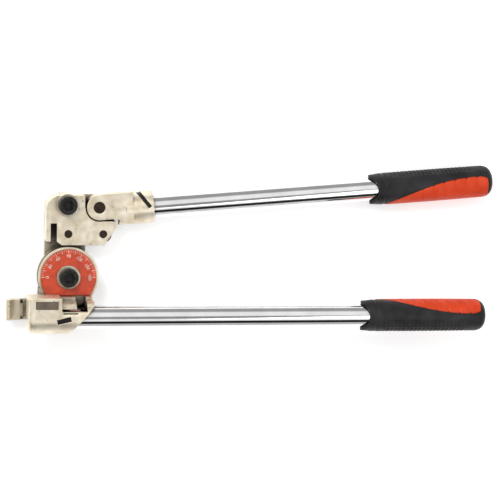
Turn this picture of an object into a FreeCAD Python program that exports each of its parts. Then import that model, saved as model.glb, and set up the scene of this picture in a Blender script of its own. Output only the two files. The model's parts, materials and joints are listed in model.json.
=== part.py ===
import FreeCAD, Part
import os
import Sketcher

# Manual tube bender, lying on its back: +X along the handles, +Y from the mandrel to the roller
# head, +Z out of the dial. The origin is on the pivot axis, in the middle plane of the tube groove.
# The tool is at a quarter turn of its bend, with both handles pointing along +X. Millimetres.

doc = FreeCAD.newDocument("tube_bender")
sheet = doc.addObject("Spreadsheet::Sheet", "Sizes")

SIZES = [
    # the tube that is bent, and the space round it
    ("tube_radius", 5.0), ("bend_radius", 24.0), ("groove_clearance", 0.1), ("body_gap", 0.5),
    ("running_fit", 0.04), ("part_gap", 0.3),
    # mandrel
    ("mandrel_rim", 0.8), ("mandrel_half", 7.0), ("mandrel_flat", 15.2),
    ("dial_margin", 2.0), ("dial_thickness", 0.8), ("dial_hole_radius", 9.8),
    # pivot through the mandrel and the roller head's arm
    ("pivot_radius", 5.0), ("pivot_head_radius", 7.6), ("pivot_head_height", 7.0),
    ("socket_flats", 8.0), ("socket_depth", 5.0),
    ("washer_radius", 9.6), ("washer_thickness", 1.6), ("bush_wall", 1.5), ("nut_flats", 16.0),
    ("nut_height", 5.0),
    # handles
    ("handle_radius", 9.525), ("handle_wall", 1.6), ("handle_socket_wall", 3.8),
    ("grip_wall", 4.125), ("grip_length", 106.5),
    ("grip_end_round", 7.0), ("inlay_depth", 2.0), ("inlay_start", 30.0), ("inlay_end", 6.5),
    # block of the mandrel handle
    ("block_left", -34.6), ("block_right", -7.8), ("block_top", -13.6),
    ("mandrel_handle_y", -30.6), ("mouth_top_x", 19.0), ("mouth_bottom_x", 0.5),
    ("mouth_depth", 19.0),
    ("mandrel_grip_end_x", 348.7), ("neck_right", 18.3),
    ("plate_left", -29.0), ("plate_right", -10.8), ("plate_top", -16.4), ("plate_bottom", -22.8),
    ("rib_groove_y", -26.2), ("post_front", 20.0), ("plate_recess", 1.2), ("plate_thickness", 0.6),
    ("window_left", 4.4), ("window_right", 13.0), ("window_bottom", -25.0), ("window_depth", 11.0),
    # latch over the held leg of the tube
    ("latch_offset", 11.0), ("latch_drop", 2.0), ("latch_gap", 0.7), ("latch_length", 16.8),
    ("latch_knuckle", 3.2), ("latch_pin_radius", 1.6),
    ("latch_lug", 3.2), ("latch_reach", 13.2),
    # roller head
    ("head_left", -18.5), ("head_wall", 3.4), ("head_rise", 31.5), ("head_corner", 11.0),
    ("head_right", 38.5), ("head_clear", 1.6), ("cheek_left", -10.0), ("cheek_thickness", 3.0),
    ("roller_half", 5.6), ("roller_side_gap", 0.3), ("roller_radius", 7.4),
    ("roller_one_x", -0.6), ("roller_two_x", 27.9), ("roller_pin_radius", 3.3),
    ("roller_bush_wall", 1.0), ("roller_track", 11.5), ("roller_pocket_rise", 8.7),
    ("arm_thickness", 5.5), ("arm_width", 15.0),
    ("arm_boss_height", 1.0),
    ("ring_thickness", 0.9), ("ring_radius", 4.8), ("pin_tail", 2.2),
    ("head_screw_x", -1.6), ("head_screw_rise", 23.9), ("head_boss_radius", 9.0),
    ("head_boss_height", 1.2),
    # bending handle
    ("hinge_x", 24.6), ("hinge_rise", 21.7), ("hinge_pin_radius", 4.8), ("eye_radius", 10.3),
    ("eye_gap", 1.2), ("handle_lean", 4.6), ("handle_drop", 3.3), ("ledge_rise", 11.0),
    ("bending_handle_z", -4.0), ("bending_socket_start", 22.0), ("bending_socket_end", 45.0), 
    ("bending_handle_grip_end", 336.0),
    ("slot_width", 3.2), ("slot_lean", 34.0), ("front_slot_x", -11.6), ("front_slot_drop", 2.7),
    ("front_slot_radius", 2.1), ("front_slot_length", 11.5), ("front_slot_lean", 14.0),
    ("front_slot_sink", 0.8), ("socket_engagement", 20.0), ("wedge_recess", 0.9),
    ("plug_length", 12.0), ("vent_radius", 1.5),
    ("edge_round", 1.0), ("casting_round", 2.6),
]
# places and sizes that follow from the ones above
TIED = [
    ("mandrel_radius", "=bend_radius + mandrel_rim"),
    ("dial_radius", "=bend_radius + mandrel_rim - dial_margin"),
    ("neck_left", "=tube_radius - bend_radius"),
    ("grip_radius", "=handle_radius + grip_wall"),
    ("mandrel_tube_start", "=mouth_top_x - mouth_depth - socket_engagement"),
    ("latch_x", "=-bend_radius - latch_offset"),
    ("latch_z", "=-tube_radius - latch_drop"),
    ("latch_top", "=head_left - latch_gap"),
    ("head_bottom", "=bend_radius + mandrel_rim + head_clear"),
    ("roller_y", "=bend_radius + roller_track"),
    ("roller_pocket_top", "=bend_radius + roller_track + roller_pocket_rise"),
    ("ledge_y", "=bend_radius + roller_track + ledge_rise"),
    ("hinge_y", "=bend_radius + roller_track + hinge_rise"),
    ("head_screw_y", "=bend_radius + roller_track + head_screw_rise"),
    ("head_top", "=bend_radius + roller_track + head_rise"),
]
for row, (alias, value) in enumerate(SIZES + TIED, start=1):
    sheet.set(f"A{row}", alias)
    sheet.set(f"B{row}", str(value))
    sheet.setAlias(f"B{row}", alias)
doc.recompute()


def size(alias):
    """The value of one named size."""
    return float(sheet.get(alias))


def bind(item, **sizes):
    """Bind properties of an object to expressions; double underscores stand for dots."""
    for prop, expression in sizes.items():
        item.setExpression(prop.replace("__", "."), expression)
    return item


def box(name, x0, x1, y0, y1, z0, z1):
    """A box between two corners, given as expressions."""
    item = doc.addObject("Part::Box", name)
    return bind(item, Length=f"({x1}) - ({x0})", Width=f"({y1}) - ({y0})", Height=f"({z1}) - ({z0})",
                Placement__Base__x=x0, Placement__Base__y=y0, Placement__Base__z=z0)


TURN = {
    "x": FreeCAD.Rotation(FreeCAD.Vector(0, 1, 0), 90),
    "y": FreeCAD.Rotation(FreeCAD.Vector(1, 0, 0), -90),
    "z": FreeCAD.Rotation(),
}


def rod(name, axis, x, y, z, radius, length):
    """A cylinder that starts at a point and runs along +X, +Y or +Z."""
    item = doc.addObject("Part::Cylinder", name)
    item.Placement.Rotation = TURN[axis]
    return bind(item, Radius=radius, Height=length,
                Placement__Base__x=x, Placement__Base__y=y, Placement__Base__z=z)


def hexagon(name, x, y, z, flats, length):
    """A hexagonal prism along +Z."""
    item = doc.addObject("Part::Prism", name)
    item.Polygon = 6
    return bind(item, Circumradius=f"({flats}) / sqrt(3)", Height=length,
                Placement__Base__x=x, Placement__Base__y=y, Placement__Base__z=z)


def ring_cut(name, x, y, z, major, minor):
    """A torus about +Z, which cuts a tube groove."""
    item = doc.addObject("Part::Torus", name)
    return bind(item, Radius1=major, Radius2=minor,
                Placement__Base__x=x, Placement__Base__y=y, Placement__Base__z=z)


def fuse(name, *pieces):
    item = doc.addObject("Part::MultiFuse", name)
    item.Shapes = list(pieces)
    item.Refine = True
    return item


def cut(name, base, *tools):
    """Take each tool away in turn."""
    for number, tool in enumerate(tools, start=1):
        item = doc.addObject("Part::Cut", name if number == len(tools) else f"{name}_step_{number}")
        item.Base = base
        item.Tool = tool
        item.Refine = True
        base = item
    return base


def common(name, first, second):
    item = doc.addObject("Part::MultiCommon", name)
    item.Shapes = [first, second]
    return item


def plate(name, points, z0, z1):
    """A flat body: a closed outline of expression pairs, padded from z0 to z1."""
    body = doc.addObject("PartDesign::Body", name)
    sketch = body.newObject("Sketcher::SketchObject", name + "_outline")
    plane = [item for item in body.Origin.OriginFeatures if item.Role == "XY_Plane"][0]
    sketch.AttachmentSupport = [(plane, "")]
    sketch.MapMode = "FlatFace"
    sketch.setExpression("AttachmentOffset.Base.z", z0)
    corners = [FreeCAD.Vector(value_of(px), value_of(py), 0) for px, py in points]
    count = len(corners)
    for index in range(count):
        line = Part.LineSegment(corners[index], corners[(index + 1) % count])
        sketch.addGeometry(line, False)
    for index in range(count):
        sketch.addConstraint(Sketcher.Constraint("Coincident", index, 2, (index + 1) % count, 1))
    for index, (px, py) in enumerate(points):
        for kind, place, text in (("DistanceX", corners[index].x, px), ("DistanceY", corners[index].y, py)):
            number = sketch.addConstraint(Sketcher.Constraint(kind, -1, 1, index, 1, place))
            sketch.setExpression(f"Constraints[{number}]", text)
    pad = body.newObject("PartDesign::Pad", name + "_pad")
    pad.Profile = sketch
    pad.setExpression("Length", f"({z1}) - ({z0})")
    body.Tip = pad
    return body


def value_of(expression):
    """The number that an expression gives now, read through a cell of the sheet."""
    sheet.set("D1", "=" + str(expression).replace("Sizes.", ""))
    doc.recompute([sheet])
    return float(sheet.get("D1"))


def rounded(name, base, radius, chosen):
    """Fillet the edges for which chosen(middle, edge) is true; radius is an alias."""
    doc.recompute()
    item = doc.addObject("Part::Fillet", name)
    item.Base = base
    edges = []
    for number, edge in enumerate(base.Shape.Edges, start=1):
        middle = edge.valueAt((edge.FirstParameter + edge.LastParameter) / 2)
        if chosen(middle, edge):
            edges.append((number, size(radius), size(radius)))
    item.Edges = edges
    return item


def is_line_along(edge, axis):
    """True for a straight edge parallel to a row axis."""
    if not isinstance(edge.Curve, (Part.Line, Part.LineSegment)):
        return False
    return abs(abs(edge.Curve.Direction.dot(axis)) - 1) < 1e-6


NODES = []
Z_AXIS = FreeCAD.Vector(0, 0, 1)


def keep(name, item):
    """Name a finished sub-part."""
    item.Label = name
    NODES.append((name, item))
    return item


def socket_screw(name, x, y, seat_z, head_radius, shank_radius, shank_length):
    """A socket head screw that points to -Z, with its head on the plane seat_z."""
    head = rod(name + "_head", "z", x, y, seat_z, head_radius, "Sizes.pivot_head_height")
    shank = rod(name + "_shank", "z", x, y, f"({seat_z}) - ({shank_length})", shank_radius,
                f"({shank_length}) + Sizes.edge_round")
    recess = hexagon(name + "_recess", x, y,
                     f"({seat_z}) + Sizes.pivot_head_height - Sizes.socket_depth",
                     "Sizes.socket_flats", "Sizes.socket_depth + 1")
    solid = cut(name + "_cut", fuse(name + "_fuse", head, shank), recess)
    top = value_of(f"({seat_z}) + Sizes.pivot_head_height")
    radius = value_of(head_radius)

    def outer_rim(middle, edge):
        circle = isinstance(edge.Curve, Part.Circle)
        return circle and abs(middle.z - top) < 1e-3 and abs(edge.Curve.Radius - radius) < 1e-3

    return keep(name, rounded(name + "_solid", solid, "edge_round", outer_rim))


# ---- Mandrel: grooved wheel, block and handle socket, one casting ----------------------------
BACK = "-Sizes.mandrel_half"
HANDLE_Z = "(Sizes.bending_handle_z + 2 * Sizes.grip_radius + Sizes.body_gap)"
SOCKET_RADIUS = "(Sizes.handle_radius + Sizes.handle_socket_wall)"
BLOCK_BACK = "(Sizes.mandrel_half + 2.6)"
BLOCK_FRONT = f"({HANDLE_Z} + {SOCKET_RADIUS})"
GROOVE = "(Sizes.tube_radius + Sizes.groove_clearance)"

wheel = rod("wheel_disc", "z", "0", "0", BACK, "Sizes.mandrel_radius", "2 * Sizes.mandrel_half")
neck = box("neck", "Sizes.neck_left - Sizes.tube_radius", "Sizes.neck_right",
           "Sizes.mandrel_handle_y - 6", "-Sizes.mandrel_flat + 6", BACK, "Sizes.mandrel_half")
neck_post = box("neck_post", "Sizes.block_right - 10", "Sizes.neck_right", "Sizes.mandrel_handle_y",
                "-Sizes.mandrel_flat", "Sizes.mandrel_half - 1", "Sizes.post_front")
block = box("block_body", "Sizes.block_left", "Sizes.block_right", "Sizes.mandrel_handle_y",
            "Sizes.block_top", BLOCK_BACK, BLOCK_FRONT)
block_round = rod("block_round", "x", "Sizes.block_left", "Sizes.mandrel_handle_y", HANDLE_Z,
                  SOCKET_RADIUS, "Sizes.mouth_top_x - Sizes.block_left")
mouth = plate("mouth_cut", [
    ("Sizes.mouth_top_x", "Sizes.mandrel_handle_y + 10"),
    ("Sizes.mouth_top_x + 30", "Sizes.mandrel_handle_y + 10"),
    ("Sizes.mouth_top_x + 30", "Sizes.mandrel_handle_y - 20"),
    ("Sizes.mouth_bottom_x - 6", "Sizes.mandrel_handle_y - 20"),
    ("Sizes.mouth_bottom_x", "Sizes.mandrel_handle_y - 11"),
], "Sizes.mandrel_half + 1", f"{BLOCK_FRONT} + 5")
lug_arm = box("lug_arm", "Sizes.latch_x - Sizes.latch_knuckle", "Sizes.neck_left",
              "Sizes.latch_top - Sizes.latch_length", "Sizes.latch_top", "-Sizes.mandrel_half - 4.4",
              "-Sizes.tube_radius - 0.6")
lug_round = rod("lug_round", "y", "Sizes.latch_x", "Sizes.latch_top - Sizes.latch_length",
                "Sizes.latch_z", "Sizes.latch_knuckle", "Sizes.latch_length")
knuckle_gap = box("knuckle_gap", "Sizes.latch_x - 8", "Sizes.latch_x + Sizes.latch_knuckle + 1",
                  "Sizes.latch_top - Sizes.latch_length + Sizes.latch_lug - 0.3",
                  "Sizes.latch_top - Sizes.latch_lug + 0.3", "-20", "0")
latch_relief = box("latch_relief", "Sizes.block_left - 1", "-Sizes.bend_radius",
                   "Sizes.latch_top - Sizes.latch_length - 0.6", "Sizes.latch_top + 0.6",
                   "Sizes.mandrel_half", "Sizes.latch_z + Sizes.latch_reach + 5.6")
window = box("window", "Sizes.window_left", "Sizes.window_right", "Sizes.window_bottom",
             "-Sizes.mandrel_flat", "Sizes.mandrel_half - Sizes.window_depth", "Sizes.mandrel_half + 40")
post_gap = box("post_gap", "Sizes.block_right", "Sizes.window_right", "Sizes.window_bottom",
               "Sizes.window_bottom + 2.2", "Sizes.mandrel_half + 3", "60")
rib_groove = box("rib_groove", "Sizes.block_right + 1", "Sizes.window_left + 1", "Sizes.rib_groove_y - 0.6",
                 "Sizes.rib_groove_y + 0.6", f"{BLOCK_FRONT} - 2", "60")
groove_ring = ring_cut("groove_ring", "0", "0", "0", "Sizes.bend_radius", GROOVE)
groove_leg = rod("groove_leg", "y", "-Sizes.bend_radius", "-60", "0", GROOVE, "60")
leg_way = box("leg_way", "-60", "-Sizes.bend_radius + 0.2", "-60", "-Sizes.mandrel_flat",
              f"-{GROOVE} - 0.4", f"{GROOVE} + 0.4")
pivot_hole = rod("pivot_hole", "z", "0", "0", "-20", "Sizes.pivot_radius + Sizes.running_fit", "60")
tube_hole = rod("tube_hole", "x", "Sizes.mandrel_tube_start",
                "Sizes.mandrel_handle_y", HANDLE_Z, "Sizes.handle_radius", "100")
plate_recess = box("plate_recess_cut", "Sizes.plate_left", "Sizes.plate_right", "Sizes.plate_bottom",
                   "Sizes.plate_top", f"{BLOCK_FRONT} - Sizes.plate_recess", f"{BLOCK_FRONT} + 1")

block_back = value_of(BLOCK_BACK)


def block_left_edge(middle, edge):
    """The edges round the block's left end, apart from those of its flat back."""
    return abs(middle.x - size("block_left")) < 1e-3 and middle.z > block_back + 1


block_solid = rounded("block_rounded", fuse("block_fuse", block, block_round), "casting_round",
                      block_left_edge)
front_slot = rod("front_slot", "x", "Sizes.front_slot_x", "Sizes.mandrel_handle_y - Sizes.front_slot_drop",
                 f"{BLOCK_FRONT} - Sizes.front_slot_sink", "Sizes.front_slot_radius",
                 "Sizes.front_slot_length")
front_slot.Placement.Rotation = FreeCAD.Rotation(Z_AXIS, size("front_slot_lean")).multiply(TURN["x"])
latch_pin_hole = rod("latch_pin_hole", "y", "Sizes.latch_x", "Sizes.latch_top - Sizes.latch_length - 1",
                     "Sizes.latch_z", "Sizes.latch_pin_radius", "Sizes.latch_length + 2")
wheel_part = cut("wheel_cut", wheel, groove_ring, groove_leg, leg_way, pivot_hole)
block_part = cut("block_cut", block_solid, mouth, latch_relief, plate_recess, rib_groove, window,
                 post_gap, front_slot, tube_hole)
neck_part = cut("neck_cut", neck, window, groove_ring, groove_leg, leg_way)
post_part = cut("neck_post_cut", neck_post, window, post_gap, tube_hole)
lug_part = cut("lug_cut", fuse("lug_fuse", lug_arm, lug_round), knuckle_gap, latch_pin_hole)
casting = fuse("mandrel_fuse", wheel_part, neck_part, post_part, block_part, lug_part)
front = value_of(BLOCK_FRONT)


def block_corner(middle, edge):
    """The outer corners of the block's front, right and top."""
    top = abs(middle.y - size("block_top")) < 1e-3
    on_front = abs(middle.z - front) < 1e-3
    right = abs(middle.x - size("block_right")) < 1e-3 and middle.z > size("mandrel_half") + 3
    straight = isinstance(edge.Curve, (Part.Line, Part.LineSegment))
    return straight and ((top and on_front) or (right and top))


keep("mandrel", rounded("mandrel_solid", casting, "edge_round", block_corner))

dial = rod("dial_disc", "z", "0", "0", "Sizes.mandrel_half", "Sizes.dial_radius", "Sizes.dial_thickness")
dial_hole = rod("dial_hole", "z", "0", "0", "0", "Sizes.dial_hole_radius", "30")
dial_flat = box("dial_flat", "-40", "40", "-60", "-Sizes.mandrel_flat + 0.4", "0", "30")
keep("dial_plate", cut("dial_solid", dial, dial_hole, dial_flat))

washer = rod("washer_disc", "z", "0", "0", "Sizes.mandrel_half", "Sizes.washer_radius",
             "Sizes.washer_thickness")
washer_hole = rod("washer_hole", "z", "0", "0", "0", "Sizes.pivot_radius + 0.2", "30")
keep("pivot_washer", cut("washer_solid", washer, washer_hole))

ARM_FRONT = "(-Sizes.mandrel_half - Sizes.body_gap)"
ARM_BACK = f"({ARM_FRONT} - Sizes.arm_thickness)"
SCREW_SEAT = "Sizes.mandrel_half + Sizes.washer_thickness"
socket_screw("pivot_screw", "0", "0", SCREW_SEAT, "Sizes.pivot_head_radius", "Sizes.pivot_radius",
             f"{SCREW_SEAT} - {ARM_BACK} + Sizes.body_gap + Sizes.nut_height + 1")
NUT_TOP = f"({ARM_BACK} - Sizes.arm_boss_height - Sizes.body_gap)"


def nut(name, x, y, top, bore):
    blank = hexagon(name + "_blank", x, y, f"{top} - Sizes.nut_height", "Sizes.nut_flats",
                    "Sizes.nut_height")
    hole = rod(name + "_hole", "z", x, y, "-60", bore, "100")
    dome = rod(name + "_dome", "z", x, y, f"{top} - Sizes.nut_height", "Sizes.nut_flats / 2 + 0.7",
               "Sizes.nut_height")
    return keep(name, common(name + "_solid", cut(name + "_cut", blank, hole), dome))


nut("pivot_nut", "0", "0", NUT_TOP, "Sizes.pivot_radius")
mandrel_wedge_zone = rod("mandrel_wedge_zone", "x", "Sizes.block_left", "Sizes.mandrel_handle_y",
                         HANDLE_Z, f"{SOCKET_RADIUS} - Sizes.wedge_recess", "80")
keep("mandrel_handle_wedge", cut("mandrel_wedge", common("mandrel_wedge_blank", front_slot,
                                 mandrel_wedge_zone), tube_hole))
keep("block_plate", box("block_plate_solid", "Sizes.plate_left + 0.3", "Sizes.plate_right - 0.3",
                        "Sizes.plate_bottom + 0.3", "Sizes.plate_top - 0.3",
                        f"{BLOCK_FRONT} - Sizes.plate_recess",
                        f"{BLOCK_FRONT} - Sizes.plate_recess + Sizes.plate_thickness"))
keep("latch_pin", rod("latch_pin_solid", "y", "Sizes.latch_x", "Sizes.latch_top - Sizes.latch_length",
                      "Sizes.latch_z", "Sizes.latch_pin_radius", "Sizes.latch_length"))

# ---- Latch: a hook on its pin, shown swung open ----------------------------------------------
HOOK_LOW = "(Sizes.latch_top - Sizes.latch_length)"
HOOK_RISE = "(-Sizes.bend_radius - Sizes.latch_x)"
hook_block = box("hook_block", "Sizes.latch_x - Sizes.latch_reach - 1.6", "Sizes.latch_x",
                 HOOK_LOW, "Sizes.latch_top", "Sizes.latch_z - Sizes.latch_knuckle + 0.2",
                 f"Sizes.latch_z + {HOOK_RISE} - 0.4")
knuckle = rod("hook_knuckle", "y", "Sizes.latch_x", f"{HOOK_LOW} + Sizes.latch_lug",
              "Sizes.latch_z", "Sizes.latch_knuckle", "Sizes.latch_length - 2 * Sizes.latch_lug")
hook_channel = rod("hook_channel", "y", "Sizes.latch_x + Sizes.latch_z", f"{HOOK_LOW} - 1",
                   f"Sizes.latch_z + {HOOK_RISE}", "Sizes.tube_radius + 0.3", "Sizes.latch_length + 2")
hook_mouth = box("hook_mouth", "Sizes.latch_x + Sizes.latch_z - Sizes.tube_radius - 0.3",
                 "Sizes.latch_x + 10", f"{HOOK_LOW} - 1", "Sizes.latch_top + 1",
                 f"Sizes.latch_z + {HOOK_RISE}", "30")
near_cut = box("hook_near_cut", "Sizes.latch_x - 1.8", "Sizes.latch_x + 10", f"{HOOK_LOW} - 1",
               "Sizes.latch_top + 1", "Sizes.latch_z + Sizes.latch_knuckle - 0.4", "30")
lug_room_low = box("hook_lug_low", "Sizes.latch_x - Sizes.latch_knuckle - 0.3", "Sizes.latch_x + 10",
                   f"{HOOK_LOW} - 1", f"{HOOK_LOW} + Sizes.latch_lug", "-30", "30")
lug_room_high = box("hook_lug_high", "Sizes.latch_x - Sizes.latch_knuckle - 0.3", "Sizes.latch_x + 10",
                    "Sizes.latch_top - Sizes.latch_lug", "Sizes.latch_top + 1", "-30", "30")
hook_pin_hole = rod("hook_pin_hole", "y", "Sizes.latch_x", "-60", "Sizes.latch_z",
                    "Sizes.latch_pin_radius + Sizes.running_fit", "60")
hook = cut("hook_cut", fuse("hook_fuse", hook_block, knuckle), hook_channel, hook_mouth, near_cut,
           lug_room_low, lug_room_high, hook_pin_hole)
keep("latch_hook", hook)

# ---- Roller head: arm, back web, left wall and front cheek in one casting ---------------------
ROLLER_Y = "Sizes.roller_y"
CHEEK_BACK = "(Sizes.roller_half + Sizes.roller_side_gap)"
CHEEK_FRONT = f"({CHEEK_BACK} + Sizes.cheek_thickness)"
HEAD_BACK = ARM_BACK
WEB_FRONT = f"(-{CHEEK_BACK})"
HEAD_OUTLINE = [
    ("Sizes.head_left", "Sizes.head_bottom + 3"), ("Sizes.cheek_left", "Sizes.head_bottom + 3"),
    ("Sizes.cheek_left + 4", "Sizes.head_bottom"), ("Sizes.head_right - 10", "Sizes.head_bottom"),
    ("Sizes.head_right", "Sizes.head_bottom + 13.8"), ("Sizes.head_right", "Sizes.ledge_y - 0.5"),
    ("Sizes.hinge_x", "Sizes.ledge_y - 0.5"), ("Sizes.hinge_x - 11.8", "Sizes.hinge_y"),
    ("Sizes.hinge_x - 11.8", "Sizes.head_top"), ("Sizes.head_left", "Sizes.head_top"),
]


def head_corner_edge(middle, edge):
    """The tall edge at the head's upper left corner."""
    near = abs(middle.x - size("head_left")) < 1e-3 and abs(middle.y - size("head_top")) < 1e-3
    return near and is_line_along(edge, Z_AXIS)


def head_small_edge(middle, edge):
    """The tall outer edges at the lower left and right of the head."""
    if not is_line_along(edge, Z_AXIS) or edge.Length < 2:
        return False
    low = abs(middle.x - size("cheek_left") - 4) < 1e-3 and abs(middle.y - size("head_bottom")) < 1e-3
    right = abs(middle.x - size("head_right")) < 1e-3 and abs(middle.y - size("head_bottom") - 13.8) < 1e-3
    return low or right


head_body = plate("head_body", HEAD_OUTLINE, HEAD_BACK, CHEEK_FRONT)
head_body = rounded("head_body_corner", head_body, "head_corner", head_corner_edge)
head_body = rounded("head_body_round", head_body, "casting_round", head_small_edge)
back_wall = plate("head_back_wall", [
    ("Sizes.hinge_x - 13", "Sizes.ledge_y - 2"), ("Sizes.head_right", "Sizes.ledge_y - 2"),
    ("Sizes.head_right", "Sizes.hinge_y"), ("Sizes.hinge_x + 6", "Sizes.head_top"),
    ("Sizes.hinge_x - 13", "Sizes.head_top"),
], HEAD_BACK, WEB_FRONT)
arm = box("arm_bar", "Sizes.head_left", "Sizes.arm_width", "0", "Sizes.head_bottom + 6", ARM_BACK,
          ARM_FRONT)
arm_boss = rod("arm_boss", "z", "0", "0", f"{ARM_BACK} - Sizes.arm_boss_height", "Sizes.head_left * -1",
               "Sizes.arm_thickness + Sizes.arm_boss_height")
boss = rod("head_boss", "z", "Sizes.head_screw_x", "Sizes.head_screw_y", HEAD_BACK,
           "Sizes.head_boss_radius", f"{CHEEK_FRONT} - {HEAD_BACK} + Sizes.head_boss_height")
pocket = box("roller_pocket", "Sizes.head_left + Sizes.head_wall", "Sizes.head_right + 1", "20",
             "Sizes.roller_pocket_top", WEB_FRONT, CHEEK_BACK)
cheek_slot = box("cheek_slot", "Sizes.head_left + Sizes.head_wall", "Sizes.cheek_left", "20",
                 "Sizes.roller_pocket_top", "0", "40")
eye_pocket = rod("eye_pocket", "z", "Sizes.hinge_x", "Sizes.hinge_y", WEB_FRONT,
                 "Sizes.eye_radius + Sizes.eye_gap", "40")
clear_right = box("eye_clear", "Sizes.hinge_x", "80", "Sizes.ledge_y - 0.5", "90", WEB_FRONT, "40")
clear_top = box("eye_clear_top", "Sizes.hinge_x - Sizes.eye_radius - Sizes.eye_gap", "80",
                "Sizes.hinge_y", "90", WEB_FRONT, "40")
arm_bore = rod("arm_bore", "z", "0", "0", "-40", "Sizes.pivot_radius + Sizes.bush_wall", "60")
screw_bore = rod("screw_bore", "z", "Sizes.head_screw_x", "Sizes.head_screw_y", "-40",
                 "Sizes.pivot_radius", "80")
hinge_bore = rod("hinge_bore", "z", "Sizes.hinge_x", "Sizes.hinge_y", "-40", "Sizes.hinge_pin_radius",
                 "80")
pin_bores = [rod(f"roller_{label}_bore", "z", f"Sizes.roller_{label}_x", ROLLER_Y, "-40",
                 "Sizes.roller_pin_radius", "80") for label in ("one", "two")]
tube_way = ring_cut("tube_way", "0", "0", "0", "Sizes.bend_radius", "Sizes.tube_radius + 0.6")
head = cut("head_cut", fuse("head_fuse", head_body, back_wall, arm, arm_boss, boss), pocket,
           cheek_slot, eye_pocket, clear_right, clear_top, arm_bore, screw_bore, hinge_bore,
           tube_way, *pin_bores)
keep("roller_head", head)

bush = rod("bush_tube", "z", "0", "0", f"{ARM_BACK} - Sizes.arm_boss_height",
           "Sizes.pivot_radius + Sizes.bush_wall", "Sizes.arm_thickness + Sizes.arm_boss_height")
bush_hole = rod("bush_hole", "z", "0", "0", "-40", "Sizes.pivot_radius + Sizes.running_fit", "60")
keep("pivot_bush", cut("bush_solid", bush, bush_hole))

HEAD_SEAT = f"{CHEEK_FRONT} + Sizes.head_boss_height"
socket_screw("head_screw", "Sizes.head_screw_x", "Sizes.head_screw_y", HEAD_SEAT,
             "Sizes.pivot_head_radius", "Sizes.pivot_radius",
             f"{HEAD_SEAT} - {HEAD_BACK} + Sizes.nut_height + 0.6")
nut("head_screw_nut", "Sizes.head_screw_x", "Sizes.head_screw_y", HEAD_BACK, "Sizes.pivot_radius")

for label in ("one", "two"):
    x = f"Sizes.roller_{label}_x"
    tyre = rod(f"roller_{label}_disc", "z", x, ROLLER_Y, "-Sizes.roller_half", "Sizes.roller_radius",
               "2 * Sizes.roller_half")
    bore = rod(f"roller_{label}_hole", "z", x, ROLLER_Y, "-40",
               "Sizes.roller_pin_radius + Sizes.roller_bush_wall", "80")
    rim = ring_cut(f"roller_{label}_rim", x, ROLLER_Y, "0", "Sizes.roller_track", GROOVE)
    keep(f"roller_{label}", cut(f"roller_{label}_solid", tyre, bore, rim))
    sleeve = rod(f"roller_{label}_sleeve", "z", x, ROLLER_Y, "-Sizes.roller_half",
                 "Sizes.roller_pin_radius + Sizes.roller_bush_wall", "2 * Sizes.roller_half")
    sleeve_bore = rod(f"roller_{label}_sleeve_bore", "z", x, ROLLER_Y, "-40",
                      "Sizes.roller_pin_radius + Sizes.running_fit", "80")
    keep(f"roller_{label}_bush", cut(f"roller_{label}_bush_solid", sleeve, sleeve_bore))
    keep(f"roller_{label}_pin", rod(f"roller_{label}_pin_solid", "z", x, ROLLER_Y,
         f"{HEAD_BACK} - Sizes.pin_tail", "Sizes.roller_pin_radius",
         f"{CHEEK_FRONT} - {HEAD_BACK} + Sizes.pin_tail"))


def retaining_ring(name, x, y, pin_radius, ring_radius):
    """A ring behind the head that holds a pin's tail."""
    disc = rod(name + "_disc", "z", x, y, f"{HEAD_BACK} - Sizes.ring_thickness - 0.3", ring_radius,
               "Sizes.ring_thickness")
    hole = rod(name + "_hole", "z", x, y, "-60", pin_radius, "60")
    return cut(name + "_cut", disc, hole)


keep("retaining_rings", doc.addObject("Part::Compound", "ring_group")).Links = [
    retaining_ring("ring_one", "Sizes.roller_one_x", ROLLER_Y, "Sizes.roller_pin_radius",
                   "Sizes.ring_radius"),
    retaining_ring("ring_two", "Sizes.roller_two_x", ROLLER_Y, "Sizes.roller_pin_radius",
                   "Sizes.ring_radius"),
    retaining_ring("ring_hinge", "Sizes.hinge_x", "Sizes.hinge_y", "Sizes.hinge_pin_radius",
                   "Sizes.ring_radius + 2"),
]
keep("hinge_pin", rod("hinge_pin_solid", "z", "Sizes.hinge_x", "Sizes.hinge_y",
     f"{HEAD_BACK} - Sizes.pin_tail", "Sizes.hinge_pin_radius",
     f"{CHEEK_FRONT} - {HEAD_BACK} + Sizes.pin_tail"))

# ---- Bending handle: built along +X from its hinge, then set at its lean ----------------------
AXIS_Y = "-Sizes.handle_drop"
EYE_BACK = f"({WEB_FRONT} + Sizes.roller_side_gap)"


def lean(item):
    """Set an object built about the hinge at the hinge's place, leaning by the handle's angle."""
    item.Placement.Rotation = FreeCAD.Rotation(Z_AXIS, 1)
    return bind(item, Placement__Base__x="Sizes.hinge_x", Placement__Base__y="Sizes.hinge_y",
                Placement__Rotation__Angle="Sizes.handle_lean")


eye = rod("eye_disc", "z", "0", "0", EYE_BACK, "Sizes.eye_radius", f"{CHEEK_FRONT} - {EYE_BACK}")
shoulder = plate("eye_shoulder", [
    ("0", "-Sizes.eye_radius"), ("Sizes.bending_socket_start - 9", "-Sizes.eye_radius"),
    ("Sizes.bending_socket_start", f"{AXIS_Y} - {SOCKET_RADIUS} + 2.0"),
    ("Sizes.bending_socket_start + 6", f"{AXIS_Y} - {SOCKET_RADIUS} + 2.0"),
    ("Sizes.bending_socket_start + 6", f"{AXIS_Y} + {SOCKET_RADIUS} + 0.5"),
    ("Sizes.bending_socket_start - 4", f"{AXIS_Y} + {SOCKET_RADIUS} + 0.5"),
    ("0", "Sizes.eye_radius"),
], EYE_BACK, CHEEK_FRONT)
AXIS_Z = "Sizes.bending_handle_z"
socket = rod("bending_socket", "x", "Sizes.bending_socket_start - 6", AXIS_Y, AXIS_Z, SOCKET_RADIUS,
             "Sizes.bending_socket_end - Sizes.bending_socket_start + 6")
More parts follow.
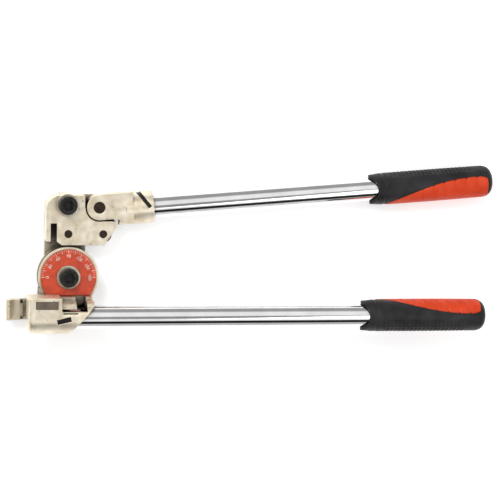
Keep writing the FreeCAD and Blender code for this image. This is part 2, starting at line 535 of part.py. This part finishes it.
socket_trim = box("bending_socket_trim", "-5", "Sizes.bending_socket_start", "-60", "60",
                  CHEEK_FRONT, "60")
socket_trim_back = box("bending_socket_back", "-5", "Sizes.bending_socket_start", "-60", "60", "-60",
                       EYE_BACK)
socket_bore = rod("bending_socket_bore", "x", "Sizes.bending_socket_end - Sizes.socket_engagement",
                  AXIS_Y, AXIS_Z, "Sizes.handle_radius", "80")
eye_bore = rod("eye_bore", "z", "0", "0", "-60", "Sizes.hinge_pin_radius + Sizes.running_fit", "120")
oblique = box("oblique_slot", "-Sizes.slot_width / 2", "Sizes.slot_width / 2", "0", "30", "-30", "30")
oblique.Placement.Rotation = FreeCAD.Rotation(Z_AXIS, size("slot_lean"))
bind(oblique, Placement__Base__x="Sizes.bending_socket_end - 4.5", Placement__Base__y=f"{AXIS_Y} - 0.5")
wedge_zone = rod("bending_wedge_zone", "x", "Sizes.bending_socket_start", AXIS_Y, AXIS_Z,
                 f"{SOCKET_RADIUS} - Sizes.wedge_recess", "40")
bending_wedge = cut("bending_wedge", common("bending_wedge_blank", oblique, wedge_zone), socket_bore)
keep("bending_handle_wedge", lean(bending_wedge))
handle_head = cut("handle_head_cut", fuse("handle_head_fuse", eye, shoulder, socket), socket_trim,
                  socket_trim_back, socket_bore, eye_bore, oblique)
keep("bending_handle_head", lean(handle_head))


def handle_parts(prefix, start_x, end_x, y, z, place, side, notch_end, notch_low):
    """A handle's tube, plug, grip and inlay.

    side is +1 or -1, where the inlay faces. The tube's inner end is notched up to notch_end,
    above notch_low.
    """
    tube_end = f"({end_x} - 3)"
    outer = rod(prefix + "_tube_outer", "x", start_x, y, z, "Sizes.handle_radius",
                f"{tube_end} - ({start_x})")
    hollow = rod(prefix + "_tube_hollow", "x", f"({start_x}) - 1", y, z,
                 "Sizes.handle_radius - Sizes.handle_wall", f"{tube_end} - ({start_x}) + 2")
    notch = box(prefix + "_tube_notch", f"({start_x}) - 1", notch_end, notch_low, f"({y}) + 30",
                f"({z}) - 30", f"({z}) + 30")
    keep(prefix + "_tube", place(cut(prefix + "_tube_solid", outer, hollow, notch)))
    plug = rod(prefix + "_plug_blank", "x", f"{tube_end} - Sizes.plug_length", y, z,
               "Sizes.handle_radius - Sizes.handle_wall", "Sizes.plug_length")
    vent = rod(prefix + "_plug_vent", "x", f"{tube_end} - 2 * Sizes.plug_length", y, z,
               "Sizes.vent_radius", "3 * Sizes.plug_length")
    keep(prefix + "_plug", place(cut(prefix + "_plug_solid", plug, vent)))
    grip_start = f"({end_x} - Sizes.grip_length)"
    blank = rod(prefix + "_grip_blank", "x", grip_start, y, z, "Sizes.grip_radius", "Sizes.grip_length")
    doc.recompute()
    far = value_of(end_x)

    def end_rim(middle, edge):
        return isinstance(edge.Curve, Part.Circle) and abs(middle.x - far) < 1e-3

    soft = rounded(prefix + "_grip_rounded", blank, "grip_end_round", end_rim)
    bore = rod(prefix + "_grip_bore", "x", f"{grip_start} - 1", y, z, "Sizes.handle_radius",
               f"{tube_end} - {grip_start} + 1")
    shell = cut(prefix + "_grip_shell", soft, bore)
    core = rod(prefix + "_inlay_core", "x", f"{grip_start} - 1", y, z,
               "Sizes.grip_radius - Sizes.inlay_depth", "Sizes.grip_length + 2")
    low, high = (f"({y}) + 4.5", f"({y}) + 30") if side > 0 else (f"({y}) - 30", f"({y}) - 4.5")
    region = box(prefix + "_inlay_region", f"{grip_start} + Sizes.inlay_start",
                 f"({end_x}) - Sizes.inlay_end - Sizes.grip_end_round", low, high, f"({z}) - 30",
                 f"({z}) + 30")
    patch = cut(prefix + "_inlay_patch", region, core)
    keep(prefix + "_grip", place(cut(prefix + "_grip_solid", shell, patch)))
    keep(prefix + "_grip_inlay", place(common(prefix + "_inlay_solid", shell, patch)))


def stay(item):
    return item


handle_parts("bending_handle", "Sizes.bending_socket_end - Sizes.socket_engagement",
             "Sizes.bending_handle_grip_end", AXIS_Y, AXIS_Z, lean, -1,
             "Sizes.bending_socket_end - Sizes.socket_engagement + 2",
             f"{AXIS_Y} + Sizes.handle_radius - 2")
handle_parts("mandrel_handle", "Sizes.mandrel_tube_start",
             "Sizes.mandrel_grip_end_x", "Sizes.mandrel_handle_y", HANDLE_Z, stay, 1,
             "Sizes.window_right + Sizes.body_gap", "Sizes.window_bottom - Sizes.body_gap")

doc.recompute()
for item in doc.Objects:
    if "Invalid" in item.State or "Error" in item.State:
        raise RuntimeError(f"{item.Name} failed to recompute: {item.State}")
os.makedirs("parts", exist_ok=True)
for name, item in NODES:
    shape = item.Shape
    if shape.isNull() or not shape.isValid() or not shape.Solids:
        raise RuntimeError(f"{name} has no valid solid")
    print(f"{name}: {len(shape.Solids)} solid(s), {shape.Volume:.0f} mm3")
for name, item in NODES:
    item.Shape.exportStep(f"parts/{name}.step")
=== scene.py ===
import json
import math

import bmesh
import bpy
from mathutils import Matrix, Vector


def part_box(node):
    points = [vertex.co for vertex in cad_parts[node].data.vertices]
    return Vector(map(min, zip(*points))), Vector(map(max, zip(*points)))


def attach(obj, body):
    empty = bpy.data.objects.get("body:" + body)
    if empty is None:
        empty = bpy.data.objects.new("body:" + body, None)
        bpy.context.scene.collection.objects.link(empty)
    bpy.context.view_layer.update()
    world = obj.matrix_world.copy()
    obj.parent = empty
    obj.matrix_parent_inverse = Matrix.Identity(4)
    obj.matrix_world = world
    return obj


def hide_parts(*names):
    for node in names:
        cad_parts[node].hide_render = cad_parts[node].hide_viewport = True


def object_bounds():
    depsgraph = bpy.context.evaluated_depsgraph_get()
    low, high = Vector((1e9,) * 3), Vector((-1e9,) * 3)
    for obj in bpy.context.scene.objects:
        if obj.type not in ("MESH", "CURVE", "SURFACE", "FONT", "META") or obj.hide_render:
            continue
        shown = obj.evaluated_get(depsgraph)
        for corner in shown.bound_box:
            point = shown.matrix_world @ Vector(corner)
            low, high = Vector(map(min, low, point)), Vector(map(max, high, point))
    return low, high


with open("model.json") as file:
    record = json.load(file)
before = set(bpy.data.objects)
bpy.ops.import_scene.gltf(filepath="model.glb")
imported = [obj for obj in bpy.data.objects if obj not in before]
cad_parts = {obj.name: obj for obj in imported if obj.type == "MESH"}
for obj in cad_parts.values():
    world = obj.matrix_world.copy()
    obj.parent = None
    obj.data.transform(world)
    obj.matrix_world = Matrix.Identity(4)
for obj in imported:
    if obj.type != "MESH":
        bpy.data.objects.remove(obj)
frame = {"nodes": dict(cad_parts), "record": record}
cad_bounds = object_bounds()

MM = 0.001
scene = bpy.context.scene
nodes = frame["nodes"]


# ---- Camera: a long lens over the tool, a little to the left, with the handles level ------------
CAMERA_LEFT = math.radians(11)
CAMERA_UP = math.radians(6)
CAMERA_LENS = 150.0
FRAME_WIDTH = 0.4166
TARGET = Vector((0.1520, 0.0216, 0.0))

sight = Vector((-math.sin(CAMERA_LEFT) * math.cos(CAMERA_UP), math.sin(CAMERA_UP),
                math.cos(CAMERA_LEFT) * math.cos(CAMERA_UP)))
camera_data = bpy.data.cameras.new("camera")
camera_data.lens = CAMERA_LENS
camera_data.clip_start = 0.01
camera = bpy.data.objects.new("camera", camera_data)
scene.collection.objects.link(camera)
scene.camera = camera
distance = FRAME_WIDTH * CAMERA_LENS / camera_data.sensor_width
along = Vector((1, 0, 0))
right = (along - sight * along.dot(sight)).normalized()
upward = sight.cross(right)
axes = Matrix((right, upward, sight)).transposed().to_4x4()
camera.matrix_world = Matrix.Translation(TARGET + sight * distance) @ axes


# ---- Material helpers --------------------------------------------------------------------------
class Finish:
    """A material with a Principled shader and short ways to add nodes to it."""

    def __init__(self, name, colour, metallic, roughness):
        self.material = bpy.data.materials.new(name)
        self.material.use_nodes = True
        self.tree = self.material.node_tree
        self.shader = self.tree.nodes["Principled BSDF"]
        self.shader.inputs["Base Color"].default_value = (*colour, 1)
        self.shader.inputs["Metallic"].default_value = metallic
        self.shader.inputs["Roughness"].default_value = roughness
        self.place = self.node("ShaderNodeTexCoord").outputs["Object"]

    def node(self, kind, **settings):
        made = self.tree.nodes.new(kind)
        for key, value in settings.items():
            setattr(made, key, value)
        return made

    def link(self, source, target):
        self.tree.links.new(source, target)

    def noise(self, scale, detail=4.0, stretch=(1, 1, 1)):
        """Noise over the object in metres; stretch squeezes it along an axis."""
        mapping = self.node("ShaderNodeMapping")
        mapping.inputs["Scale"].default_value = stretch
        self.link(self.place, mapping.inputs["Vector"])
        texture = self.node("ShaderNodeTexNoise")
        texture.inputs["Scale"].default_value = scale
        texture.inputs["Detail"].default_value = detail
        self.link(mapping.outputs["Vector"], texture.inputs["Vector"])
        return texture.outputs["Fac"]

    def ramp(self, source, low, high, low_colour, high_colour):
        """A two-colour ramp between two places of the source."""
        ramp = self.node("ShaderNodeValToRGB")
        ramp.color_ramp.elements[0].position = low
        ramp.color_ramp.elements[1].position = high
        ramp.color_ramp.elements[0].color = (*low_colour, 1)
        ramp.color_ramp.elements[1].color = (*high_colour, 1)
        self.link(source, ramp.inputs["Fac"])
        return ramp.outputs["Color"]

    def spread(self, source, low, high):
        """The source's middle range mapped onto low to high."""
        mapped = self.node("ShaderNodeMapRange")
        mapped.inputs["From Min"].default_value = 0.3
        mapped.inputs["From Max"].default_value = 0.7
        mapped.inputs["To Min"].default_value = low
        mapped.inputs["To Max"].default_value = high
        self.link(source, mapped.inputs["Value"])
        return mapped.outputs["Result"]

    def multiply(self, colour, other, amount=1.0):
        mix = self.node("ShaderNodeMix", data_type="RGBA", blend_type="MULTIPLY")
        mix.inputs["Factor"].default_value = amount
        self.link(colour, mix.inputs["A"])
        self.link(other, mix.inputs["B"])
        return mix.outputs["Result"]

    def bump(self, height, strength, depth, edge=0.0):
        """Bump on the shader, over edges softened by the given radius in metres."""
        bump = self.node("ShaderNodeBump")
        bump.inputs["Strength"].default_value = strength
        bump.inputs["Distance"].default_value = depth
        self.link(height, bump.inputs["Height"])
        if edge:
            bevel = self.node("ShaderNodeBevel", samples=6)
            bevel.inputs["Radius"].default_value = edge
            self.link(bevel.outputs["Normal"], bump.inputs["Normal"])
        self.link(bump.outputs["Normal"], self.shader.inputs["Normal"])


def cast_nickel():
    """Nickel-plated casting: warm, satin, with a fine cast skin, and painted shade darkening its low
    places.
    """
    finish = Finish("cast_nickel", (0.80, 0.72, 0.58), 0.72, 0.36)
    cloud = finish.ramp(finish.noise(90, 5), 0.32, 0.68, (0.68, 0.58, 0.42), (0.93, 0.85, 0.69))
    specks = finish.ramp(finish.noise(900, 3), 0.30, 0.42, (0.72, 0.68, 0.62), (1, 1, 1))
    # Painted shade: ambient occlusion within 18 mm darkens recesses, gaps and corners towards near
    # black in the base colour.
    shade_occlusion = finish.node("ShaderNodeAmbientOcclusion", samples=6)
    shade_occlusion.inputs["Distance"].default_value = 0.018
    painted_shade = finish.ramp(shade_occlusion.outputs["AO"], 0.28, 0.80, (0.022, 0.015, 0.008), (1, 1, 1))
    colour = finish.multiply(finish.multiply(cloud, specks, 0.3), painted_shade, 1.0)
    finish.link(colour, finish.shader.inputs["Base Color"])
    finish.link(finish.spread(finish.noise(240, 4), 0.26, 0.46), finish.shader.inputs["Roughness"])
    finish.bump(finish.noise(1400, 6), 0.35, 0.00012, edge=0.0007)
    return finish.material


def chrome():
    """Bright chrome plate with faint wipe marks along the tube, and painted shade where it lies close
    to other parts.
    """
    finish = Finish("chrome_tube", (0.86, 0.86, 0.87), 1.0, 0.07)
    smear = finish.ramp(finish.noise(60, 4), 0.3, 0.7, (0.76, 0.75, 0.75), (0.86, 0.85, 0.85))
    # Painted shade: ambient occlusion within 8 mm darkens the tube to near black where it runs into
    # sockets and close to other parts.
    shade_occlusion = finish.node("ShaderNodeAmbientOcclusion", samples=6)
    shade_occlusion.inputs["Distance"].default_value = 0.008
    shade = finish.ramp(shade_occlusion.outputs["AO"], 0.35, 0.8, (0.04, 0.035, 0.03), (1, 1, 1))
    finish.link(finish.multiply(smear, shade), finish.shader.inputs["Base Color"])
    wipe = finish.noise(400, 3, stretch=(0.04, 1, 1))
    finish.link(finish.spread(wipe, 0.04, 0.12), finish.shader.inputs["Roughness"])
    finish.bump(wipe, 0.04, 0.00002)
    return finish.material


def black_oxide():
    """Blackened screw steel, a little worn to brown-grey."""
    finish = Finish("black_oxide", (0.02, 0.02, 0.022), 0.0, 0.42)
    finish.shader.inputs["Specular IOR Level"].default_value = 0.3
    worn = finish.ramp(finish.noise(500, 5), 0.45, 0.75, (0.004, 0.004, 0.005), (0.040, 0.034, 0.028))
    finish.link(worn, finish.shader.inputs["Base Color"])
    finish.link(finish.spread(finish.noise(900, 3), 0.28, 0.5), finish.shader.inputs["Roughness"])
    finish.bump(finish.noise(2500, 3), 0.2, 0.00005, edge=0.0003)
    return finish.material


def steel(name, colour, roughness):
    """Ground steel or bronze with fine turning marks."""
    finish = Finish(name, colour, 1.0, roughness)
    dark = tuple(0.62 * part for part in colour)
    finish.link(finish.ramp(finish.noise(350, 5), 0.3, 0.7, dark, colour),
                finish.shader.inputs["Base Color"])
    marks = finish.noise(700, 2, stretch=(1, 1, 6))
    finish.link(finish.spread(marks, roughness - 0.08, roughness + 0.1),
                finish.shader.inputs["Roughness"])
    finish.bump(marks, 0.15, 0.00004, edge=0.0003)
    return finish.material


def enamel(name, colour):
    """Enamel over metal, uneven in tone, with small chips of darker wear."""
    finish = Finish(name, colour, 0.0, 0.34)
    deep = tuple(0.62 * part for part in colour)
    tone = finish.ramp(finish.noise(160, 5), 0.3, 0.7, deep, colour)
    chips = finish.ramp(finish.noise(1300, 4), 0.28, 0.36, (0.35, 0.22, 0.18), (1, 1, 1))
    finish.link(finish.multiply(tone, chips, 0.5), finish.shader.inputs["Base Color"])
    finish.link(finish.spread(finish.noise(600, 3), 0.26, 0.46), finish.shader.inputs["Roughness"])
    finish.shader.inputs["Coat Weight"].default_value = 0.25
    finish.bump(finish.noise(1800, 4), 0.15, 0.00005)
    return finish.material


def soft_grip(name, colour, lift):
    """Moulded soft grip: fine grain, rubbed lighter where hands touch it."""
    finish = Finish(name, colour, 0.0, 0.5)
    rubbed = tuple(min(1.0, part * lift + 0.01) for part in colour)
    finish.link(finish.ramp(finish.noise(70, 6), 0.35, 0.7, colour, rubbed),
                finish.shader.inputs["Base Color"])
    finish.link(finish.spread(finish.noise(300, 4), 0.4, 0.62), finish.shader.inputs["Roughness"])
    finish.shader.inputs["Sheen Weight"].default_value = 0.03
    finish.shader.inputs["Specular IOR Level"].default_value = 0.22
    finish.bump(finish.noise(3200, 2), 0.25, 0.00008)
    return finish.material


MATERIALS = {
    "cast_nickel": cast_nickel(),
    "chrome_tube": chrome(),
    "black_oxide": black_oxide(),
    "dial_red": enamel("dial_red", (0.66, 0.065, 0.018)),
    "grip_black": soft_grip("grip_black", (0.008, 0.008, 0.009), 2.2),
    "grip_red": soft_grip("grip_red", (0.60, 0.045, 0.006), 1.2),
    "bronze": steel("bronze", (0.62, 0.40, 0.17), 0.3),
    "steel": steel("steel", (0.060, 0.044, 0.034), 0.36),
    "plate_brown": enamel("plate_brown", (0.155, 0.125, 0.085)),
    "plug_plastic": soft_grip("plug_plastic", (0.010, 0.008, 0.006), 1.6),
}
MARK_WHITE = enamel("mark_white", (0.90, 0.80, 0.72))

for entry in frame["record"]["subparts"]:
    mesh = nodes[entry["node"]].data
    mesh.materials.clear()
    mesh.materials.append(MATERIALS[entry["material_slot"]])


# ---- Mesh helpers ------------------------------------------------------------------------------
def add_piece(name, mesh, material, body, replaced=()):
    """Link a mesh as a piece that rides on a body, with the given material."""
    piece = bpy.data.objects.new(name, mesh)
    scene.collection.objects.link(piece)
    mesh.materials.append(material)
    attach(piece, body)
    if replaced:
        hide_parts(*replaced)
    return piece


def mesh_of(name, bm, smooth=True):
    """A mesh from a bmesh, with outward normals."""
    bmesh.ops.recalc_face_normals(bm, faces=bm.faces)
    for face in bm.faces:
        face.smooth = smooth
    mesh = bpy.data.meshes.new(name)
    bm.to_mesh(mesh)
    bm.free()
    return mesh


# ---- Grips: a black moulded sleeve and a raised red inlay --------------------------------------
GRIP_STEPS, GRIP_SIDES = 300, 216
GRIP_LENGTH, END_GAP = 106.3 * MM, 0.1 * MM
MOUTH_NOTCH = 6.6 * MM
SHOULDER_RUN = 11 * MM
SLEEVE_BORE, LIP_DEPTH, LIP_ROUND = 9.6 * MM, 6 * MM, 0.5 * MM
SLEEVE_RADIUS = 13.15 * MM
INLAY_HALF = math.radians(96)
INLAY_TIP, INLAY_FULL = 13 * MM, 92 * MM
INLAY_TAIL, INLAY_BLUNT = 4.6 * MM, 7 * MM
INLAY_ACROSS, INLAY_STEPS = 72, 150
INLAY_CROWN, INLAY_SUNK, INLAY_UNDER = 0.32 * MM, 0.9 * MM, 1.3 * MM
END_ROUND = 9 * MM
KNURL_AROUND, KNURL_PITCH, KNURL_DEPTH = 30, 3.4 * MM, 0.55 * MM
KNURL_HALF = math.radians(62)
RIB_FIRST, RIB_PITCH, RIB_COUNT = 34 * MM, 9.6 * MM, 7
RIB_DEPTH, RIB_WIDTH = 1.05 * MM, 1.5 * MM
INLAY_TURN = math.radians(-18)
BENDING_LEAN = math.radians(4.6)


def ease(value):
    """A smooth step from 0 to 1."""
    value = max(0.0, min(1.0, value))
    return value * value * (3 - 2 * value)


def dip(value, centre, width):
    """A soft dip of depth 1 round a centre."""
    return math.exp(-((value - centre) / width) ** 2)


class Grip:
    """A grip along a direction from its mouth; angles are measured from the inlay's middle."""

    def __init__(self, prefix, body, along, centre_angle):
        self.prefix, self.body = prefix, body
        self.along = along.normalized()
        self.side = Vector((0, 0, 1)).cross(self.along)
        self.centre_angle = centre_angle
        plug_low, plug_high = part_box(prefix + "_plug")
        middle = (Vector(plug_low) + Vector(plug_high)) / 2
        mesh = nodes[prefix + "_grip"].data
        reach = max((vertex.co - middle).dot(self.along) for vertex in mesh.vertices)
        self.start = middle + self.along * (reach - GRIP_LENGTH - END_GAP)

    def point(self, run, angle, radius):
        """The point at a run from the mouth, an angle from the inlay's middle and a radius."""
        turned = angle + self.centre_angle
        across = self.side * math.cos(turned) + Vector((0, 0, 1)) * math.sin(turned)
        return self.start + self.along * run + across * radius

    def mouth(self, angle):
        """How far back the mouth lies: tongues on both sides, notches front and back."""
        turned = angle + self.centre_angle
        return MOUTH_NOTCH * abs(math.sin(turned)) ** 2.2

    def inlay_width(self, run):
        """Half the inlay's angle at a run: pointed at the mouth side, blunt at the end."""
        share = max(0.0, min(1.0, (run - INLAY_TIP) / (INLAY_FULL - INLAY_TIP)))
        opening = math.sin(share * math.pi / 2) ** 0.75
        tail = max(0.0, min(1.0, (GRIP_LENGTH - INLAY_TAIL - run) / INLAY_BLUNT))
        closing = 0.86 + 0.14 * math.sqrt(tail) if tail > 0.15 else math.sqrt(tail / 0.15) * 0.914
        return INLAY_HALF * opening * closing

    def hull(self, run):
        """The plain radius along the grip: slim mouth, shoulder, slight swell, rounded end."""
        radius = SLEEVE_RADIUS - 0.75 * MM * (1 - ease(run / SHOULDER_RUN))
        radius -= 0.35 * MM * dip(run, SHOULDER_RUN + 0.5 * MM, 0.9 * MM)
        radius += 0.30 * MM * math.sin(math.pi * run / GRIP_LENGTH)
        past = run - (GRIP_LENGTH - END_ROUND)
        if past > 0:
            share = min(1.0, past / END_ROUND)
            radius *= 0.42 + 0.58 * math.sqrt(max(0.0, 1 - share ** 2.3))
        radius -= 0.3 * MM * dip(run, GRIP_LENGTH - 6.2 * MM, 0.55 * MM)
        return radius

    def sleeve_radius(self, run, angle):
        """The black surface: fine grooves along its back, sunk under the inlay."""
        radius = self.hull(run)
        width = self.inlay_width(run)
        if width > 0 and abs(angle) < width:
            return radius - INLAY_SUNK
        off = math.pi - abs(angle)
        in_field = ease((run - 15 * MM) / (6 * MM)) * ease((GRIP_LENGTH - 14 * MM - run) / (6 * MM))
        in_field *= ease((KNURL_HALF - off) / math.radians(6))
        lengthwise = (0.5 + 0.5 * math.cos(off * KNURL_AROUND)) ** 3
        crosswise = (0.5 + 0.5 * math.cos(2 * math.pi * run / KNURL_PITCH)) ** 3
        return radius - KNURL_DEPTH * in_field * max(lengthwise, 0.8 * crosswise)

    def inlay_radius(self, run, angle, width):
        """The red surface: crowned, with soft ribs along both borders."""
        edge = abs(angle) / width if width > 1e-6 else 1.0
        radius = self.hull(run) + INLAY_CROWN - 0.85 * MM * ease((edge - 0.93) / 0.07)
        border = ease((edge - 0.30) / 0.25) * ease((1.02 - edge) / 0.06)
        for number in range(RIB_COUNT):
            radius -= RIB_DEPTH * border * dip(run, RIB_FIRST + number * RIB_PITCH, RIB_WIDTH)
        return radius


def build_sleeve(grip):
    """The black sleeve: outside, rolled mouth and a short way inside."""
    bm = bmesh.new()
    rings = []
    lips = [(LIP_DEPTH, SLEEVE_BORE), (0.4 * MM, SLEEVE_BORE), (0.0, SLEEVE_BORE + LIP_ROUND)]
    for lip_run, lip_radius in lips:
        rings.append([bm.verts.new(grip.point(grip.mouth(a) + lip_run, a, lip_radius))
                      for a in angles_round()])
    for step in range(GRIP_STEPS + 1):
        share = step / GRIP_STEPS
        ring = []
        for angle in angles_round():
            run = grip.mouth(angle) * (1 - share) ** 6 + share * GRIP_LENGTH
            radius = grip.sleeve_radius(run, angle)
            if step == 0:
                radius -= LIP_ROUND
            ring.append(bm.verts.new(grip.point(run, angle, radius)))
        rings.append(ring)
    for first, second in zip(rings, rings[1:]):
        for index in range(GRIP_SIDES):
            after = (index + 1) % GRIP_SIDES
            bm.faces.new((first[index], first[after], second[after], second[index]))
    close_ring(bm, rings[-1])
    close_ring(bm, rings[0])
    return mesh_of(grip.prefix + "_sleeve", bm)


def angles_round():
    """Angles round the grip, from minus pi."""
    return [-math.pi + 2 * math.pi * index / GRIP_SIDES for index in range(GRIP_SIDES)]


def close_ring(bm, ring):
    """Close a ring with a fan about its middle."""
    middle = bm.verts.new(sum((vert.co for vert in ring), Vector()) / len(ring))
    for index in range(len(ring)):
        bm.faces.new((ring[index], ring[(index + 1) % len(ring)], middle))


def build_inlay(grip):
    """The red inlay: a closed patch over its own stretch of the grip."""
    bm = bmesh.new()
    across, steps = INLAY_ACROSS, INLAY_STEPS
    first, last = INLAY_TIP + 0.2 * MM, GRIP_LENGTH - INLAY_TAIL - 0.05 * MM
    top, under = [], []
    for step in range(steps + 1):
        run = first + (last - first) * step / steps
        width = grip.inlay_width(run)
        tops, unders = [], []
        for index in range(across + 1):
            angle = width * (2 * index / across - 1)
            tops.append(bm.verts.new(grip.point(run, angle, grip.inlay_radius(run, angle, width))))
            unders.append(bm.verts.new(grip.point(run, angle, grip.hull(run) - INLAY_UNDER)))
        top.append(tops)
        under.append(unders)
    for step in range(steps):
        for index in range(across):
            bm.faces.new((top[step][index], top[step][index + 1],
                          top[step + 1][index + 1], top[step + 1][index]))
            bm.faces.new((under[step][index], under[step + 1][index],
                          under[step + 1][index + 1], under[step][index + 1]))
        for index in (0, across):
            bm.faces.new((top[step][index], top[step + 1][index],
                          under[step + 1][index], under[step][index]))
    for step in (0, steps):
        for index in range(across):
            bm.faces.new((top[step][index], top[step][index + 1],
                          under[step][index + 1], under[step][index]))
    return mesh_of(grip.prefix + "_inlay", bm)


LEANING = Vector((math.cos(BENDING_LEAN), math.sin(BENDING_LEAN), 0))
for grip in (Grip("mandrel_handle", "frame", Vector((1, 0, 0)), INLAY_TURN),
             Grip("bending_handle", "bending_handle", LEANING, math.pi + INLAY_TURN)):
    add_piece(grip.prefix + "_soft_grip", build_sleeve(grip), MATERIALS["grip_black"], grip.body,
              [grip.prefix + "_grip"])
    add_piece(grip.prefix + "_soft_inlay", build_inlay(grip), MATERIALS["grip_red"], grip.body,
              [grip.prefix + "_grip_inlay"])


# ---- Dial marks: raised ticks each five degrees, and generic angle numbers ---------------------
dial_top = Vector(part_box("dial_plate")[1]).z
MARK_HEIGHT, MARK_SINK = 0.12 * MM, 0.02 * MM
DIAL_RIM = 22.2 * MM
DIAL_SWEEP, TICK_STEP, NUMBER_STEP = 180, 5, 30
NUMBER_SIZE, NUMBER_INSET = 3.6 * MM, 4.9 * MM


def radial_bar(bm, angle, inner, outer, width):
    """A flat bar that points at the dial's centre."""
    out = Vector((math.cos(angle), math.sin(angle), 0))
    side = Vector((-out.y, out.x, 0)) * width / 2
    low, high = dial_top - MARK_SINK, dial_top + MARK_HEIGHT
    base = [out * inner - side, out * outer - side, out * outer + side, out * inner + side]
    floor_ring = [bm.verts.new((p.x, p.y, low)) for p in base]
    top_ring = [bm.verts.new((p.x, p.y, high)) for p in base]
    bm.faces.new(top_ring)
    bm.faces.new(floor_ring[::-1])
    for index in range(4):
        after = (index + 1) % 4
        bm.faces.new((floor_ring[index], floor_ring[after], top_ring[after], top_ring[index]))


ticks = bmesh.new()
for number in range(DIAL_SWEEP // TICK_STEP + 1):
    long_tick = number % 3 == 0
    reach = 2.6 * MM if long_tick else 1.5 * MM
    radial_bar(ticks, math.radians(DIAL_SWEEP - TICK_STEP * number), DIAL_RIM - reach, DIAL_RIM,
               0.42 * MM if long_tick else 0.26 * MM)
add_piece("dial_ticks", mesh_of("dial_ticks", ticks, smooth=False), MARK_WHITE, "frame")

number_parts = []
for number in range(0, DIAL_SWEEP + 1, NUMBER_STEP):
    curve = bpy.data.curves.new(f"number_{number}", "FONT")
    curve.body = str(number)
    curve.size = NUMBER_SIZE
    curve.align_x = "CENTER"
    curve.align_y = "CENTER"
    curve.extrude = MARK_HEIGHT / 2
    text = bpy.data.objects.new(f"number_{number}", curve)
    scene.collection.objects.link(text)
    angle = math.radians(DIAL_SWEEP - number)
    radius = DIAL_RIM - NUMBER_INSET
    text.matrix_world = (Matrix.Translation((radius * math.cos(angle), radius * math.sin(angle),
                                             dial_top + MARK_HEIGHT / 2))
                         @ Matrix.Rotation(angle - math.pi / 2, 4, "Z"))
    bpy.context.view_layer.update()
    mesh = bpy.data.meshes.new_from_object(text.evaluated_get(bpy.context.evaluated_depsgraph_get()))
    mesh.transform(text.matrix_world)
    bpy.data.objects.remove(text)
    number_parts.append(mesh)
numbers = bmesh.new()
for mesh in number_parts:
    numbers.from_mesh(mesh)
    bpy.data.meshes.remove(mesh)
number_mesh = bpy.data.meshes.new("dial_numbers")
numbers.to_mesh(number_mesh)
numbers.free()
number_mesh.materials.clear()
add_piece("dial_numbers", number_mesh, MARK_WHITE, "frame")


# ---- Floor, lights and the studio that the chrome reflects --------------------------------------
floor_mesh = bpy.data.meshes.new("floor")
grid = bmesh.new()
bmesh.ops.create_grid(grid, x_segments=2, y_segments=2, size=3.0)
grid.to_mesh(floor_mesh)
grid.free()
floor = bpy.data.objects.new("floor", floor_mesh)
floor.location = (0, 0, cad_bounds[0][2] - 0.1 * MM)
scene.collection.objects.link(floor)
floor_finish = Finish("floor", (0.95, 0.95, 0.95), 0.0, 0.9)
floor_finish.shader.inputs["Emission Color"].default_value = (1, 1, 1, 1)
floor_finish.shader.inputs["Emission Strength"].default_value = 0.35
floor_finish.bump(floor_finish.noise(40, 3), 0.02, 0.0002)
floor_mesh.materials.append(floor_finish.material)

world = bpy.data.worlds.new("studio")
scene.world = world
world.use_nodes = True
tree = world.node_tree
background = tree.nodes["Background"]
direction = tree.nodes.new("ShaderNodeTexCoord").outputs["Generated"]
split = tree.nodes.new("ShaderNodeSeparateXYZ")
tree.links.new(direction, split.inputs["Vector"])
turn = tree.nodes.new("ShaderNodeMath")
turn.operation = "ARCTAN2"
tree.links.new(split.outputs["Y"], turn.inputs[0])
tree.links.new(split.outputs["Z"], turn.inputs[1])
scaled = tree.nodes.new("ShaderNodeMapRange")
scaled.inputs["From Min"].default_value = -math.pi
scaled.inputs["From Max"].default_value = math.pi
tree.links.new(turn.outputs["Value"], scaled.inputs["Value"])
studio = tree.nodes.new("ShaderNodeValToRGB")
tree.links.new(scaled.outputs["Result"], studio.inputs["Fac"])

# Brightness by the angle in degrees from straight up, turning towards the head (+Y).
STUDIO = [(-150, 0.75), (-100, 0.75), (-84, 0.5), (-72, 0.6), (-67, 0.55), (-62, 0.015), (-40, 0.015),
          (-35, 0.95), (-19, 1.0), (-11, 0.30), (6, 0.34), (12, 1.0), (44, 1.0), (56, 0.36),
          (96, 0.42), (115, 0.7), (150, 0.75)]
elements = studio.color_ramp.elements
while len(elements) > 1:
    elements.remove(elements[0])
for number, (angle, level) in enumerate(STUDIO):
    place = (angle + 180) / 360
    element = elements[0] if number == 0 else elements.new(place)
    element.position = place
    element.color = (level, level, level, 1)
seen = tree.nodes.new("ShaderNodeLightPath")
plain = tree.nodes.new("ShaderNodeMix")
plain.data_type = "RGBA"
plain.inputs["B"].default_value = (1, 1, 1, 1)
tree.links.new(seen.outputs["Is Camera Ray"], plain.inputs["Factor"])
tree.links.new(studio.outputs["Color"], plain.inputs["A"])
tree.links.new(plain.outputs["Result"], background.inputs["Color"])
background.inputs["Strength"].default_value = 1.0


def area_light(name, place, energy, width, length):
    """A soft box aimed at the middle of the tool."""
    lamp = bpy.data.lights.new(name, "AREA")
    lamp.shape = "RECTANGLE"
    lamp.size, lamp.size_y = width, length
    lamp.energy = energy
    item = bpy.data.objects.new(name, lamp)
    item.location = place
    item.rotation_euler = (Vector(place) - TARGET).to_track_quat("Z", "Y").to_euler()
    scene.collection.objects.link(item)


area_light("key", (-0.5, 0.7, 1.1), 9.0, 0.5, 0.5)
area_light("fill", (0.8, -0.3, 1.2), 4.0, 0.8, 0.8)
scene.view_settings.view_transform = "Standard"
